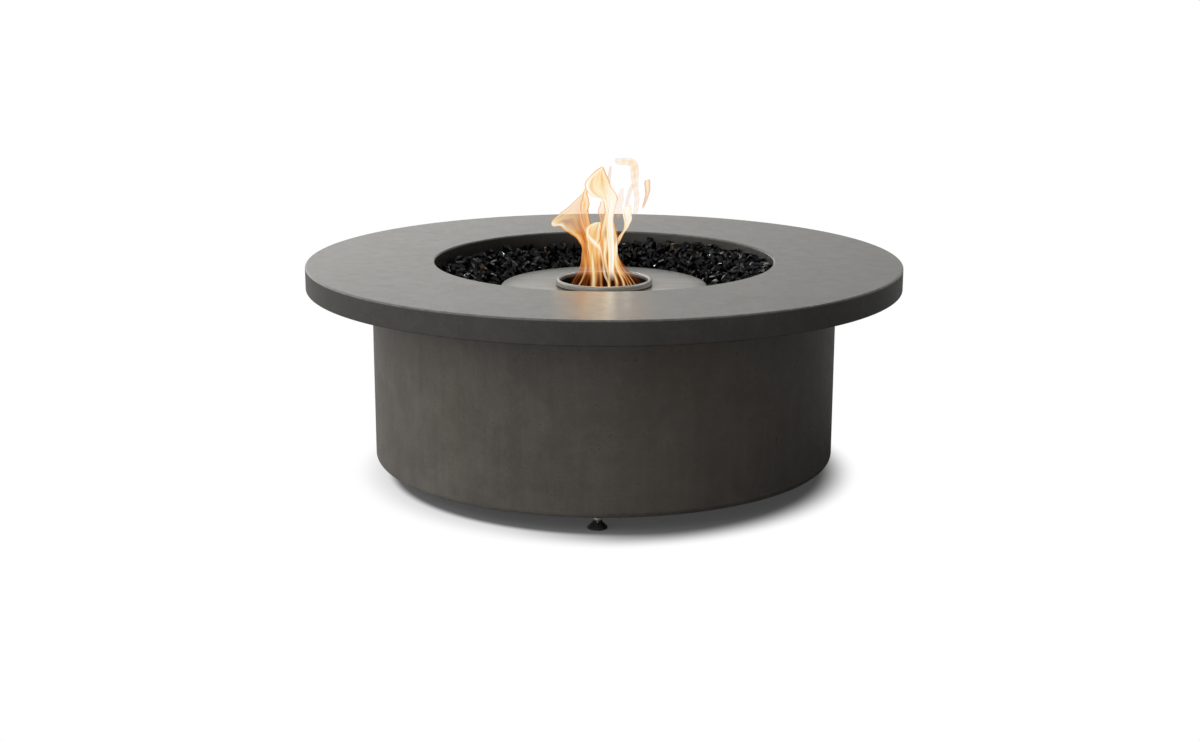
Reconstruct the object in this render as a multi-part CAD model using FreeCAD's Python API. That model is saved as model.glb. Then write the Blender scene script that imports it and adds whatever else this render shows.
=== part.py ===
import FreeCAD, Part
import math
import os
import random

# Round fire table: a cast ring top on a cast drum, with a lift-out liquid fuel burner in loose glass.
# Millimetres, +Z up. The origin is on the floor, under the middle of the table. The front is towards -Y.

Vector = FreeCAD.Vector

# Cast top
total_height = 363.0
top_radius = 508.0
top_thickness = 40.0
top_edge_rounding = 3.0
deck_thickness = 15.0
rim_wall = 22.0
opening_radius = 290.0
recess_depth = 72.0
skirt_wall = 16.0
ledge_width = 24.0
ledge_thickness = 16.0
seat_overhang = 14.0
inner_rounding = 6.0

# Cast drum
drum_wall = 16.0
floor_gap = 24.0
drum_base_rounding = 9.0
foot_flange_width = 52.0
foot_flange_thickness = 20.0
bolt_flange_width = 45.0
bolt_flange_thickness = 18.0
seam_gap = 2.0
seam_setback = 6.0
skirt_gap = 30.0

# Fasteners of the top joint, M8 in cast-in inserts
bolt_count = 8
bolt_radius = 4.0
bolt_engagement = 16.4
bolt_head_height = 5.3
bolt_head_across_flats = 13.0
washer_radius = 8.0
washer_thickness = 1.6
insert_wall = 2.0
insert_length = 18.0
tip_room = 2.0

# Tray and its fasteners, M5
tray_sheet = 2.0
tray_bend = 2.0
tray_rim_height = 20.0
tray_collar_height = 21.5
tray_gasket_thickness = 2.0
tray_screw_count = 6
tray_screw_radius = 2.5
tray_screw_engagement = 8.0
tray_head_radius = 4.5
tray_head_height = 2.8
tray_socket_across_flats = 3.0
tray_socket_depth = 1.7
tray_insert_length = 10.0
tray_insert_wall = 1.5
drain_hole_radius = 5.0
drain_hole_count = 6

# Burner
plate_radius = 179.5
plate_shoulder = 9.0
plate_edge_height = 14.0
burner_sheet = 1.5
burner_depth = 130.0
casing_bend = 3.0
vessel_sheet = 1.2
vessel_bend = 4.8
vessel_lip = 6.0
spacer_radius = 14.0
spacer_height = 10.0
spacer_count = 3
spacer_circle = 88.0
insulation_thickness = 12.0
insulation_gap = 0.5
mouth_radius = 83.0
mouth_rise = 11.0
bead_width = 7.5
bead_lip = 7.0
skirt_depth = 28.0
skirt_lip = 6.5
fill_tab_width = 16.0
fill_tab_drop = 28.0
fill_tab_reach = 26.0

# Fire glass
glass_under_plate = 11.0
glass_under_deck = 34.0
shard_smallest = 17.0
shard_largest = 30.0
shard_tries = 4000
shard_low = 7.0
shard_high = 13.0

# Levelling feet, M8 with a pitch of 1.25
foot_count = 4
foot_inset = 31.0
foot_clocking = 1.6
pad_radius = 15.75
pad_rim_height = 3.0
pad_cone_height = 11.0
pad_height = 13.0
pad_collar_wall = 1.2
pad_floor = 4.0
notch_width = 6.5
notch_depth = 3.8
stem_radius = 4.0
stem_head_radius = 5.9
stem_lip = 0.7
stem_lip_height = 1.4
hexagon_height = 4.5
hexagon_across_flats = 13.0
stem_top_margin = 14.0
foot_insert_length = 20.0
foot_insert_flange = 1.5
foot_insert_flange_radius = 11.0
foot_insert_wall = 3.0

# Clearances
thread_clearance = 0.05
insert_clearance = 0.05
hole_clearance = 0.75
running_gap = 0.05
socket_clearance = 0.2
washer_clearance = 0.4
glass_clearance = 0.3
burner_clearance = 1.5
slip_clearance = 3.0
tray_clearance = 1.2
shard_seat = 0.15

# Heights worked out from the sizes above
deck_top = total_height
top_underside = deck_top - top_thickness
ledge_top = deck_top - recess_depth
drum_top = top_underside - seam_gap
skirt_outer = opening_radius + skirt_wall
ledge_inner = opening_radius - ledge_width
bolt_flange_inner = skirt_outer + skirt_gap
drum_inner = bolt_flange_inner + bolt_flange_width
drum_radius = drum_inner + drum_wall
bolt_circle = 0.5 * (bolt_flange_inner + drum_inner)
tray_bottom = ledge_top + tray_gasket_thickness
tray_top = tray_bottom + tray_sheet
tray_screw_circle = 0.5 * (ledge_inner + opening_radius)
tray_outer = opening_radius - tray_clearance
plate_underside = tray_top + tray_collar_height
plate_top = plate_underside + burner_sheet
tray_collar_outer = plate_radius - plate_shoulder - tray_clearance
tray_collar_inner = tray_collar_outer - tray_sheet
casing_radius = tray_collar_inner - slip_clearance
casing_bottom = plate_top - burner_depth
vessel_bottom = casing_bottom + burner_sheet + spacer_height
mouth_top = plate_top + mouth_rise
bead_radius = 0.5 * bead_width
bead_centre = mouth_radius - bead_radius
bead_height = mouth_top - bead_radius
mouth_inner = mouth_radius - bead_width
skirt_bottom = bead_height - skirt_depth
neck_inner = mouth_inner + burner_sheet + socket_clearance
neck_outer = neck_inner + burner_sheet
neck_disc = skirt_bottom + slip_clearance
vessel_top = neck_disc
insulation_outer = casing_radius - burner_sheet - insulation_gap
insulation_inner = insulation_outer - insulation_thickness
vessel_lip_outer = insulation_inner - insulation_gap
vessel_radius = vessel_lip_outer - vessel_sheet
plate_hole = neck_outer + socket_clearance
foot_circle = drum_radius - foot_inset


def outline(corners):
    """Closed wire in the X-Z plane. A corner is (radius, height) or (radius, height, rounding)."""
    edges = []
    points = [Vector(c[0], 0, c[1]) for c in corners]
    roundings = [c[2] if len(c) > 2 else 0.0 for c in corners]
    starts, ends = [], []
    count = len(corners)
    for i in range(count):
        here = points[i]
        back = points[i - 1] - here
        ahead = points[(i + 1) % count] - here
        room = 0.45 * min(back.Length, ahead.Length)
        back.normalize()
        ahead.normalize()
        if roundings[i] <= 0:
            starts.append(here)
            ends.append(here)
            continue
        half = 0.5 * back.getAngle(ahead)
        reach = min(roundings[i] / math.tan(half), room)
        radius = reach * math.tan(half)
        bisector = back + ahead
        bisector.normalize()
        centre = here + bisector * (radius / math.sin(half))
        starts.append(here + back * reach)
        ends.append(here + ahead * reach)
        edges.append(Part.Arc(starts[i], centre - bisector * radius, ends[i]).toShape())
    for i in range(count):
        after = (i + 1) % count
        if (starts[after] - ends[i]).Length > 1e-7:
            edges.append(Part.LineSegment(ends[i], starts[after]).toShape())
    return Part.Wire(Part.__sortEdges__(edges))


def turned(corners):
    """Solid of revolution about the Z axis of a closed outline."""
    face = Part.Face(outline(corners))
    return face.revolve(Vector(0, 0, 0), Vector(0, 0, 1), 360)


def washer(inner, outer, low, high):
    """Flat ring between two radii and two heights."""
    return turned([(inner, low), (outer, low), (outer, high), (inner, high)])


def disc(radius, low, high):
    """Upright round bar."""
    return Part.makeCylinder(radius, high - low, Vector(0, 0, low))


def hexagon(across_flats, low, high):
    """Upright hexagonal bar."""
    corner = across_flats / math.sqrt(3.0)
    points = []
    for i in range(7):
        angle = math.radians(60 * i)
        points.append(Vector(corner * math.cos(angle), corner * math.sin(angle), low))
    return Part.Face(Part.makePolygon(points)).extrude(Vector(0, 0, high - low))


def around(shape, circle, count, clocking=0.0):
    """Copies of a shape on a circle. The first stands at the front, and the others follow towards +X."""
    copies = []
    for i in range(count):
        angle = -90.0 + 360.0 * i / count - clocking
        copy = shape.copy()
        copy.translate(Vector(circle, 0, 0))
        copy.rotate(Vector(0, 0, 0), Vector(0, 0, 1), angle)
        copies.append(copy)
    return copies


def cut_all(shape, tools):
    """The shape less every tool, as one solid."""
    result = shape.cut(tools)
    return result.Solids[0]


def table_top():
    """Cast ring with a deep edge, a hollow under the overhang and a skirt with a ledge round the opening."""
    groove_outer = top_radius - rim_wall
    groove_inner = drum_radius + seat_overhang
    groove_roof = deck_top - deck_thickness
    ledge_bottom = ledge_top - ledge_thickness
    body = turned([
        (opening_radius, deck_top, top_edge_rounding),
        (top_radius, deck_top, top_edge_rounding),
        (top_radius, top_underside, top_edge_rounding),
        (groove_outer, top_underside, top_edge_rounding),
        (groove_outer, groove_roof, inner_rounding),
        (groove_inner, groove_roof, inner_rounding),
        (groove_inner, top_underside, top_edge_rounding),
        (skirt_outer, top_underside, inner_rounding),
        (skirt_outer, ledge_bottom, top_edge_rounding),
        (ledge_inner, ledge_bottom, top_edge_rounding),
        (ledge_inner, ledge_top),
        (opening_radius, ledge_top),
    ])
    bolt_pocket_radius = bolt_radius + thread_clearance + insert_wall + insert_clearance
    bolt_pocket = disc(bolt_pocket_radius, top_underside - 1.0, top_underside + insert_length + tip_room)
    screw_pocket_radius = tray_screw_radius + thread_clearance + tray_insert_wall + insert_clearance
    screw_pocket = disc(screw_pocket_radius, ledge_top - tray_insert_length - tip_room, ledge_top + 1.0)
    pockets = around(bolt_pocket, bolt_circle, bolt_count)
    pockets += around(screw_pocket, tray_screw_circle, tray_screw_count)
    return cut_all(body, pockets)


def base_drum():
    """Cast cylinder, open below, with a flange for the feet at its foot and one for the bolts at its top."""
    foot_flange_inner = drum_inner - foot_flange_width
    foot_flange_top = floor_gap + foot_flange_thickness
    bolt_flange_bottom = drum_top - bolt_flange_thickness
    body = turned([
        (drum_radius, floor_gap, drum_base_rounding),
        (drum_radius, drum_top, top_edge_rounding),
        (bolt_flange_inner, drum_top, top_edge_rounding),
        (bolt_flange_inner, bolt_flange_bottom, top_edge_rounding),
        (drum_inner, bolt_flange_bottom, inner_rounding),
        (drum_inner, foot_flange_top, inner_rounding),
        (foot_flange_inner, foot_flange_top, top_edge_rounding),
        (foot_flange_inner, floor_gap, top_edge_rounding),
    ])
    bolt_hole = disc(bolt_radius + hole_clearance, bolt_flange_bottom - 1.0, drum_top + 1.0)
    foot_hole_radius = stem_radius + thread_clearance + foot_insert_wall + insert_clearance
    foot_hole = disc(foot_hole_radius, floor_gap - 1.0, foot_flange_top + 1.0)
    holes = around(bolt_hole, bolt_circle, bolt_count)
    holes += around(foot_hole, foot_circle, foot_count, foot_clocking)
    return cut_all(body, holes)


def seam_gasket():
    """Flat seal between the drum's wall and the top, set back from the outside."""
    return washer(drum_inner - seam_setback, drum_radius - seam_setback, drum_top, top_underside)


def insert(bore, wall, low, high):
    """Threaded insert with a waist that locks it in the casting."""
    outer = bore + wall
    third = (high - low) / 3.0
    waist = 0.35 * wall
    return turned([
        (bore, low),
        (outer, low),
        (outer, low + third),
        (outer - waist, low + third + waist),
        (outer - waist, high - third - waist),
        (outer, high - third),
        (outer, high),
        (bore, high),
    ])


def top_inserts():
    """Inserts in the underside of the top."""
    one = insert(bolt_radius + thread_clearance, insert_wall, top_underside, top_underside + insert_length)
    return around(one, bolt_circle, bolt_count)


def top_washers():
    """Washers under the bolt heads."""
    seat = drum_top - bolt_flange_thickness
    one = washer(bolt_radius + washer_clearance, washer_radius, seat - washer_thickness, seat)
    return around(one, bolt_circle, bolt_count)


def top_bolts():
    """Hexagon bolts, put in from below."""
    head_top = drum_top - bolt_flange_thickness - washer_thickness
    head = hexagon(bolt_head_across_flats, head_top - bolt_head_height, head_top)
    shank = disc(bolt_radius, head_top - 0.5 * bolt_head_height, top_underside + bolt_engagement)
    return around(head.fuse(shank).removeSplitter().Solids[0], bolt_circle, bolt_count)


def tray_gasket():
    """Seal between the tray and the ledge."""
    body = washer(ledge_inner + 1.0, tray_outer, ledge_top, tray_bottom)
    hole = disc(tray_screw_radius + hole_clearance, ledge_top - 1.0, tray_bottom + 1.0)
    return cut_all(body, around(hole, tray_screw_circle, tray_screw_count))


def fire_tray():
    """Pressed pan for the glass, with a rim outside and a collar that carries the burner."""
    body = turned([
        (tray_collar_inner, tray_bottom, tray_bend + tray_sheet),
        (tray_outer, tray_bottom, tray_bend + tray_sheet),
        (tray_outer, tray_top + tray_rim_height),
        (tray_outer - tray_sheet, tray_top + tray_rim_height),
        (tray_outer - tray_sheet, tray_top, tray_bend),
        (tray_collar_outer, tray_top, tray_bend),
        (tray_collar_outer, plate_underside),
        (tray_collar_inner, plate_underside),
    ])
    screw_hole = disc(tray_screw_radius + hole_clearance, tray_bottom - 1.0, tray_top + 1.0)
    drain_hole = disc(drain_hole_radius, tray_bottom - 1.0, tray_top + 1.0)
    drain_circle = 0.5 * (tray_collar_outer + ledge_inner)
    holes = around(screw_hole, tray_screw_circle, tray_screw_count)
    holes += around(drain_hole, drain_circle, drain_hole_count, 180.0 / drain_hole_count)
    return cut_all(body, holes)


def tray_inserts():
    """Inserts in the ledge."""
    bore = tray_screw_radius + thread_clearance
    one = insert(bore, tray_insert_wall, ledge_top - tray_insert_length, ledge_top)
    return around(one, tray_screw_circle, tray_screw_count)


def tray_screws():
    """Button head screws that hold the tray down."""
    head = turned([
        (0, tray_top),
        (tray_head_radius, tray_top),
        (tray_head_radius, tray_top + tray_head_height, 0.5 * tray_head_height),
        (0, tray_top + tray_head_height),
    ])
    head_top = tray_top + tray_head_height
    socket = hexagon(tray_socket_across_flats, head_top - tray_socket_depth, head_top + 1.0)
    shank = disc(tray_screw_radius, ledge_top - tray_screw_engagement, head_top - tray_socket_depth)
    one = head.cut(socket).fuse(shank).removeSplitter().Solids[0]
    return around(one, tray_screw_circle, tray_screw_count)


def glass_bed():
    """The packed glass under the top layer: a ring that rises from the burner to the wall of the opening."""
    inner = plate_radius + burner_clearance
    rim_inner = tray_outer - tray_sheet - glass_clearance
    wall = opening_radius - glass_clearance
    rim_top = tray_top + tray_rim_height + glass_clearance
    body = turned([
        (inner, tray_top),
        (rim_inner - tray_bend, tray_top),
        (rim_inner, tray_top + tray_bend),
        (rim_inner, rim_top),
        (wall, rim_top),
        (wall, bed_height(wall)),
        (inner, bed_height(inner)),
    ])
    head_room = tray_top + tray_head_height + glass_clearance
    pocket = disc(tray_head_radius + glass_clearance, tray_top - 1.0, head_room)
    return cut_all(body, around(pocket, tray_screw_circle, tray_screw_count))


def bed_height(radius):
    """Height of the packed glass at a radius: a straight rise from the burner plate to the opening's wall."""
    share = (radius - plate_radius) / (opening_radius - plate_radius)
    low = plate_top - glass_under_plate
    high = deck_top - glass_under_deck
    return low + share * (high - low)


def shard(chance, size):
    """One broken piece: an uneven polygon that narrows to a smaller one, standing on its flat side."""
    sides = chance.randint(5, 6)
    long_half = 0.5 * size
    short_half = long_half * chance.uniform(0.6, 0.95)
    height = chance.uniform(shard_low, shard_high)
    shrink = chance.uniform(0.25, 0.6)
    shift = Vector(chance.uniform(-0.2, 0.2) * long_half, chance.uniform(-0.2, 0.2) * short_half, height)
    low = []
    for i in range(sides):
        angle = math.radians(360.0 * (i + chance.uniform(-0.25, 0.25)) / sides)
        low.append(Vector(long_half * math.cos(angle), short_half * math.sin(angle), 0))
    high = [p * shrink + shift for p in low]
    faces = [Part.Face(Part.makePolygon(low + low[:1])), Part.Face(Part.makePolygon(high + high[:1]))]
    for i in range(sides):
        after = (i + 1) % sides
        faces.append(Part.Face(Part.makePolygon([low[i], low[after], high[after], high[i], low[i]])))
    body = Part.makeSolid(Part.makeShell(faces))
    if body.Volume < 0:
        body.reverse()
    body.rotate(Vector(0, 0, 0), Vector(0, 0, 1), chance.uniform(0, 360))
    return body


def shard_places(chance):
    """Scattered seats on the bed as (x, y, size), each clear of the others, the burner and the wall."""
    inner = plate_radius + burner_clearance
    wall = opening_radius - glass_clearance
    places = []
    for _ in range(shard_tries):
        size = chance.uniform(shard_smallest, shard_largest)
        low = inner + 0.5 * size
        high = wall - 0.5 * size
        radius = math.sqrt(chance.uniform(low * low, high * high))
        angle = chance.uniform(0, 2.0 * math.pi)
        x = radius * math.cos(angle)
        y = radius * math.sin(angle)
        if all(math.hypot(x - p[0], y - p[1]) > 0.5 * (size + p[2]) + glass_clearance for p in places):
            places.append((x, y, size))
    return places


def glass_shards():
    """The top layer of glass, lying scattered on the slope of the packed bed."""
    chance = random.Random(11)
    rise = bed_height(opening_radius) - bed_height(plate_radius)
    slope = math.degrees(math.atan(rise / (opening_radius - plate_radius)))
    shards = []
    for x, y, size in shard_places(chance):
        radius = math.hypot(x, y)
        one = shard(chance, size)
        one.rotate(Vector(0, 0, 0), Vector(0, 1, 0), -slope)
        one.translate(Vector(radius, 0, bed_height(radius) + shard_seat))
        one.rotate(Vector(0, 0, 0), Vector(0, 0, 1), math.degrees(math.atan2(y, x)))
        shards.append(one)
    return shards


def burner_plate():
    """Round cover of the burner with a rolled-down shoulder. It rests on the tray's collar."""
    edge_bottom = plate_top - plate_edge_height
    return turned([
        (plate_hole, plate_underside),
        (plate_hole, plate_top),
        (plate_radius, plate_top, plate_shoulder),
        (plate_radius, edge_bottom),
        (plate_radius - burner_sheet, edge_bottom),
        (plate_radius - burner_sheet, plate_underside, plate_shoulder - burner_sheet),
    ])


def burner_casing():
    """Outer can, welded under the plate."""
    return turned([
        (0, casing_bottom),
        (casing_radius, casing_bottom, casing_bend + burner_sheet),
        (casing_radius, plate_underside),
        (casing_radius - burner_sheet, plate_underside),
        (casing_radius - burner_sheet, casing_bottom + burner_sheet, casing_bend),
        (0, casing_bottom + burner_sheet),
    ])


def burner_insulation():
    """Ceramic wool sleeve between the fuel vessel and the casing."""
    low = casing_bottom + burner_sheet
    return turned([
        (insulation_inner, low),
        (insulation_outer, low, casing_bend),
        (insulation_outer, vessel_top),
        (insulation_inner, vessel_top),
    ])


def vessel_spacers():
    """Ceramic discs that carry the fuel vessel clear of the casing's floor."""
    one = disc(spacer_radius, casing_bottom + burner_sheet, vessel_bottom)
    return around(one, spacer_circle, spacer_count)


def fuel_vessel():
    """Inner can that holds the fuel."""
    return turned([
        (0, vessel_bottom),
        (vessel_radius, vessel_bottom, vessel_bend + vessel_sheet),
        (vessel_radius, vessel_top),
        (vessel_radius - vessel_sheet, vessel_top),
        (vessel_radius - vessel_sheet, vessel_bottom + vessel_sheet, vessel_bend),
        (0, vessel_bottom + vessel_sheet),
    ])


def bead_ceiling():
    """Height of the flame ring's inside, over the inner corner of the neck."""
    inside = bead_radius - burner_sheet
    offset = bead_centre - neck_inner
    return bead_height + math.sqrt(max(inside * inside - offset * offset, 0.0))


def vessel_neck():
    """Cover of the fuel vessel, drawn up into the collar that carries the flame ring."""
    lip_inner = vessel_radius + running_gap
    collar_top = bead_ceiling() - running_gap
    return turned([
        (neck_inner, neck_disc),
        (lip_inner, neck_disc),
        (lip_inner, neck_disc - vessel_lip),
        (vessel_lip_outer, neck_disc - vessel_lip),
        (vessel_lip_outer, neck_disc + vessel_sheet, 0.5 * vessel_sheet),
        (neck_outer, neck_disc + vessel_sheet, burner_sheet),
        (neck_outer, collar_top),
        (neck_inner, collar_top),
    ])


def fill_tab():
    """Bent strip under the neck. Its foot shows how high the fuel may stand."""
    inner = neck_outer + 2.0 * burner_sheet
    low = neck_disc - fill_tab_drop
    half = 0.5 * fill_tab_width
    upright = Part.makeBox(vessel_sheet, fill_tab_width, fill_tab_drop, Vector(inner, -half, low))
    foot_corner = Vector(inner - fill_tab_reach, -half, low)
    foot = Part.makeBox(fill_tab_reach, fill_tab_width, vessel_sheet, foot_corner)
    return upright.fuse(foot).removeSplitter().Solids[0]


def flame_ring():
    """Ring that hooks over the neck: a rolled bead, a skirt down into the neck and a lip turned inwards."""
    inside = bead_radius - burner_sheet
    lip_bottom = mouth_top - bead_lip
    edges = []

    def line(r0, z0, r1, z1):
        edges.append(Part.LineSegment(Vector(r0, 0, z0), Vector(r1, 0, z1)).toShape())

    def half_circle(radius):
        left = Vector(bead_centre - radius, 0, bead_height)
        crown = Vector(bead_centre, 0, bead_height + radius)
        right = Vector(bead_centre + radius, 0, bead_height)
        edges.append(Part.Arc(left, crown, right).toShape())

    lip_inner = mouth_inner - skirt_lip
    skirt_outer_face = mouth_inner + burner_sheet
    line(mouth_inner, skirt_bottom + burner_sheet, mouth_inner, bead_height)
    half_circle(bead_radius)
    line(mouth_radius, bead_height, mouth_radius, lip_bottom)
    line(mouth_radius, lip_bottom, mouth_radius - burner_sheet, lip_bottom)
    line(mouth_radius - burner_sheet, lip_bottom, mouth_radius - burner_sheet, bead_height)
    half_circle(inside)
    line(skirt_outer_face, bead_height, skirt_outer_face, skirt_bottom)
    line(skirt_outer_face, skirt_bottom, lip_inner, skirt_bottom)
    line(lip_inner, skirt_bottom, lip_inner, skirt_bottom + burner_sheet)
    line(lip_inner, skirt_bottom + burner_sheet, mouth_inner, skirt_bottom + burner_sheet)
    face = Part.Face(Part.Wire(Part.__sortEdges__(edges)))
    return face.revolve(Vector(0, 0, 0), Vector(0, 0, 1), 360)


def foot_pad():
    """Black plastic pad: a rim, a cone and a notched collar that snaps over the head of the stem."""
    socket = stem_head_radius + socket_clearance
    collar = socket + pad_collar_wall
    lip = stem_head_radius - stem_lip + socket_clearance
    lip_bottom = pad_height - stem_lip_height
    body = turned([
        (0, 0),
        (pad_radius, 0, 0.15 * pad_rim_height),
        (pad_radius, pad_rim_height, 0.3 * pad_rim_height),
        (pad_radius - 0.3 * pad_rim_height, pad_rim_height),
        (collar, pad_cone_height),
        (collar, pad_height, 0.4 * pad_collar_wall),
        (lip, pad_height),
        (lip, lip_bottom),
        (socket, lip_bottom),
        (socket, pad_floor),
        (0, pad_floor),
    ])
    reach = 2.0 * collar
    half = 0.5 * notch_width
    low = pad_height - notch_depth
    over = pad_height + 1.0
    spread = half * (over - low) / notch_depth
    corners = [Vector(0, 0, low), Vector(0, spread, over), Vector(0, -spread, over), Vector(0, 0, low)]
    wedge = Part.Face(Part.makePolygon(corners)).extrude(Vector(reach, 0, 0))
    notches = []
    for i in range(4):
        one = wedge.copy()
        one.rotate(Vector(0, 0, 0), Vector(0, 0, 1), 90.0 * i)
        notches.append(one)
    return cut_all(body, notches)


def foot_stem():
    """Plated stem: a round head that turns in the pad, a hexagon for the spanner and the threaded shank."""
    head_low = pad_floor + running_gap
    head_high = pad_height - stem_lip_height - socket_clearance
    hexagon_low = pad_height + socket_clearance
    top = floor_gap + foot_flange_thickness + stem_top_margin
    head = disc(stem_head_radius, head_low, head_high)
    neck = disc(stem_head_radius - stem_lip, head_low, hexagon_low + 0.5 * hexagon_height)
    spanner = hexagon(hexagon_across_flats, hexagon_low, hexagon_low + hexagon_height)
    shank = turned([
        (0, hexagon_low),
        (stem_radius, hexagon_low),
        (stem_radius, top, 0.25 * stem_radius),
        (0, top),
    ])
    return head.fuse([neck, spanner, shank]).removeSplitter().Solids[0]


def foot_inserts():
    """Flanged inserts in the drum's lower flange, one for each foot."""
    bore = stem_radius + thread_clearance
    outer = bore + foot_insert_wall
    low = floor_gap - foot_insert_flange
    one = turned([
        (bore, low),
        (foot_insert_flange_radius, low, 0.3 * foot_insert_flange),
        (foot_insert_flange_radius, floor_gap),
        (outer, floor_gap),
        (outer, low + foot_insert_length),
        (bore, low + foot_insert_length),
    ])
    return around(one, foot_circle, foot_count, foot_clocking)


def save(name, shape):
    """Write one node, a single solid or a group of separate ones."""
    solids = shape if isinstance(shape, list) else [shape]
    for solid in solids:
        if not solid.isValid() or solid.Volume <= 0:
            raise ValueError(name + " isn't a sound solid")
    whole = solids[0] if len(solids) == 1 else Part.makeCompound(solids)
    whole.exportStep("parts/" + name + ".step")
    volume = sum(solid.Volume for solid in solids)
    print(name, len(solids), "solids", round(volume / 1000.0, 1), "cm3")


os.makedirs("parts", exist_ok=True)
for build in (table_top, base_drum, seam_gasket, top_inserts, top_washers, top_bolts,
              tray_gasket, fire_tray, tray_inserts, tray_screws, glass_bed, glass_shards,
              burner_plate, burner_casing, burner_insulation, vessel_spacers, fuel_vessel,
              vessel_neck, fill_tab, flame_ring, foot_inserts):
    save(build.__name__, build())

pads = around(foot_pad(), foot_circle, foot_count, foot_clocking)
stems = around(foot_stem(), foot_circle, foot_count, foot_clocking)
for side, pad, stem in zip(("front", "right", "back", "left"), pads, stems):
    save("foot_pad_" + side, pad)
    save("foot_stem_" + side, stem)
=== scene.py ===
from math import pi, radians

import bpy
import numpy as np
from mathutils import Matrix, Vector


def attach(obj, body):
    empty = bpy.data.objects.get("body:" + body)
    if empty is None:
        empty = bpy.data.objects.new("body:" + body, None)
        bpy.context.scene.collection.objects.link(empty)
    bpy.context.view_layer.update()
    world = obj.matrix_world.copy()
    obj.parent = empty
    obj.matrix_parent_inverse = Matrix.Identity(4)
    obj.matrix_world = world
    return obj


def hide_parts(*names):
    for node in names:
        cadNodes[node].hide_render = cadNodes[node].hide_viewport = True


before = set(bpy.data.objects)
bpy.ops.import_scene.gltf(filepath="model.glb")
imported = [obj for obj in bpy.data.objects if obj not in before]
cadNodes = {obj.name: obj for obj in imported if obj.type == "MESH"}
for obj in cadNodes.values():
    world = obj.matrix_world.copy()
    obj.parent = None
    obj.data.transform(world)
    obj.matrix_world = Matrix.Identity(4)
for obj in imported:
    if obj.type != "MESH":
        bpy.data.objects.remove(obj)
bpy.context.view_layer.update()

scene = bpy.context.scene
scene.view_settings.view_transform = "Standard"
scene.cycles.transparent_max_bounces = 24  # the flame's sheets lie many deep
print("frame loaded with", len(cadNodes), "nodes")

# ---- camera, standing where the photographer stood, metres and degrees
photoCamera = {
    "place": (-0.0067, -3.0903, 0.915), "lookDown": 13.64, "roll": 0.105,
    "lens": 54.72, "sensorWidth": 36.0, "clipEnd": 100.0,
}


def placeCamera(view):
    camera = bpy.data.objects.new("photoCamera", bpy.data.cameras.new("photoCamera"))
    camera.data.lens = view["lens"]
    camera.data.sensor_width = view["sensorWidth"]
    camera.data.clip_end = view["clipEnd"]
    tilt = Matrix.Rotation(radians(90 - view["lookDown"]), 4, "X")
    roll = Matrix.Rotation(radians(view["roll"]), 4, "Z")
    camera.matrix_world = Matrix.Translation(view["place"]) @ tilt @ roll
    scene.collection.objects.link(camera)
    scene.camera = camera


placeCamera(photoCamera)
print("camera placed")

# ---- helpers for materials
# noise: scale, detail, roughness, distortion and stretch; a span: two values and the two that they become
current = {"tree": None}


def startTree(owner):
    # nodes made from here on go into the tree of this material or world
    owner.use_nodes = True
    current["tree"] = owner.node_tree
    return owner.node_tree


def addNode(kind, inputs=None, **settings):
    # inputs are plain values or other nodes' outputs; the new node's outputs come back
    tree = current["tree"]
    made = tree.nodes.new("ShaderNode" + kind)
    for name, value in settings.items():
        setattr(made, name, value)
    for name, value in (inputs or {}).items():
        if isinstance(value, bpy.types.NodeSocket):
            tree.links.new(value, made.inputs[name])
        else:
            made.inputs[name].default_value = value
    return made.outputs


def addMath(operation, first, second):
    return addNode("Math", {0: first, 1: second}, operation=operation)[0]


def addProduct(first, second):
    return addMath("MULTIPLY", first, second)


def addRange(value, low, high, newLow=0.0, newHigh=1.0, smooth=True):
    # value stretched from low..high to newLow..newHigh, held at both ends
    inputs = {"Value": value, "From Min": low, "From Max": high, "To Min": newLow, "To Max": newHigh}
    kind = "SMOOTHSTEP" if smooth else "LINEAR"
    return addNode("MapRange", inputs, interpolation_type=kind)["Result"]


def addBlend(share, first, second):
    # a number between two, in sockets 2 and 3
    return addNode("Mix", {0: share, 2: first, 3: second}, data_type="FLOAT")[0]


def addMix(share, first, second):
    # a colour between two, in sockets 6 and 7
    first, second = (tone if isinstance(tone, bpy.types.NodeSocket) else (*tone, 1.0) for tone in (first, second))
    return addNode("Mix", {0: share, 6: first, 7: second}, data_type="RGBA")[2]


def addScale(colour, level):
    # a colour made darker or paler
    return addNode("VectorMath", {0: colour, 3: level}, operation="SCALE")[0]


def addDistance(place, point):
    return addNode("VectorMath", {0: place, 1: point}, operation="DISTANCE")["Value"]


def addNoise(place, scale, detail, roughness, distortion=0.0, stretch=None):
    # stretch squeezes the pattern along the three axes, as on brushed metal
    if stretch:
        place = addNode("Mapping", {"Vector": place, "Scale": stretch})[0]
    inputs = {"Vector": place, "Scale": scale, "Detail": detail, "Roughness": roughness, "Distortion": distortion}
    return addNode("TexNoise", inputs)[0]


def addPattern(place, noise, span):
    return addRange(addNoise(place, *noise), *span)


def addLevels(noise, levels, smooth=True):
    # noise, nearly all of which lies from 0.3 to 0.7, stretched to two levels
    return addRange(noise, 0.3, 0.7, *levels, smooth)


def addCylinder(place):
    # distance from the table's upright axis, and height, of each point
    parts = addNode("SeparateXYZ", {0: place})
    flat = addNode("CombineXYZ", {0: parts[0], 1: parts[1]})[0]
    radius = addNode("VectorMath", {0: flat}, operation="LENGTH")["Value"]
    return radius, parts[2]


def startFinish(name, **sockets):
    # a new material and the object's own coordinates
    finish = bpy.data.materials.new(name)
    tree = startTree(finish)
    for socket, value in sockets.items():
        tree.nodes["Principled BSDF"].inputs[socket].default_value = value
    return finish, addNode("TexCoord")["Object"]


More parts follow.
